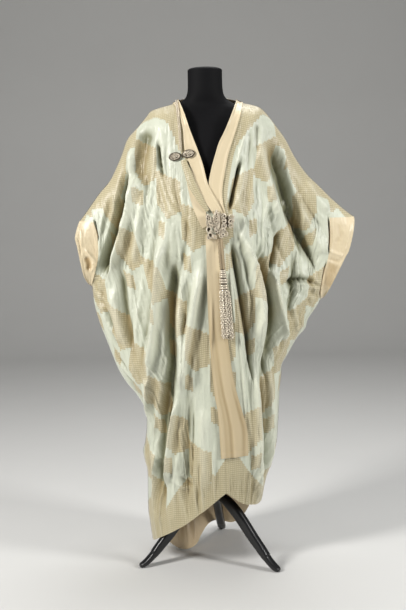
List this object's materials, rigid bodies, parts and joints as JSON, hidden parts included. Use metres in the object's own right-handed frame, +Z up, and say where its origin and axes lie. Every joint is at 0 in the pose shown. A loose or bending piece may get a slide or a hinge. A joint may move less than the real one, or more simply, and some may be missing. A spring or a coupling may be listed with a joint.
{
  "type": "evening coat on a limbless dress form with a tripod stand",
  "caption": "Long open evening coat of figured silk with satin collar, cuffs and hanging sash, corded clasp and tassel, standing on a limbless dress form with a tripod stand.",
  "frame": {"origin": "middle of the whole part's footprint, on the floor", "axes": "+Z up, -Y towards the coat's front, +X towards the wearer's left"},
  "size_m": [0.8436, 0.438, 1.514],
  "materials": {
    "silk": "pale green silk with a woven gold check figure, soft sheen",
    "satin": "cream satin, glossy",
    "metal_cord": "metal thread cord, tarnished silver",
    "form": "smooth black, satin",
    "stand": "gloss black"
  },
  "bodies": {
    "root": {"coat_front_right": "silk", "coat_front_left": "silk", "coat_back": "silk", "lining_back_hem": "satin", "cuff_right": "satin", "cuff_left": "satin", "collar_left": "satin", "collar_right": "satin", "collar_back": "satin", "sash_end": "satin", "lapel_roll": "silk", "lapel_facing": "satin", "clasp_loops": "metal_cord", "clasp_tab": "metal_cord", "clasp_knots": "metal_cord", "clasp_button": "metal_cord", "tassel_braid": "metal_cord", "tassel": "metal_cord", "ornament_right": "metal_cord", "ornament_left": "metal_cord", "ornament_cord": "metal_cord", "form_torso": "form", "stand_pole": "stand", "stand_hub": "stand", "leg_front_left": "stand", "leg_front_right": "stand", "leg_back": "stand"}
  },
  "joints": []
}
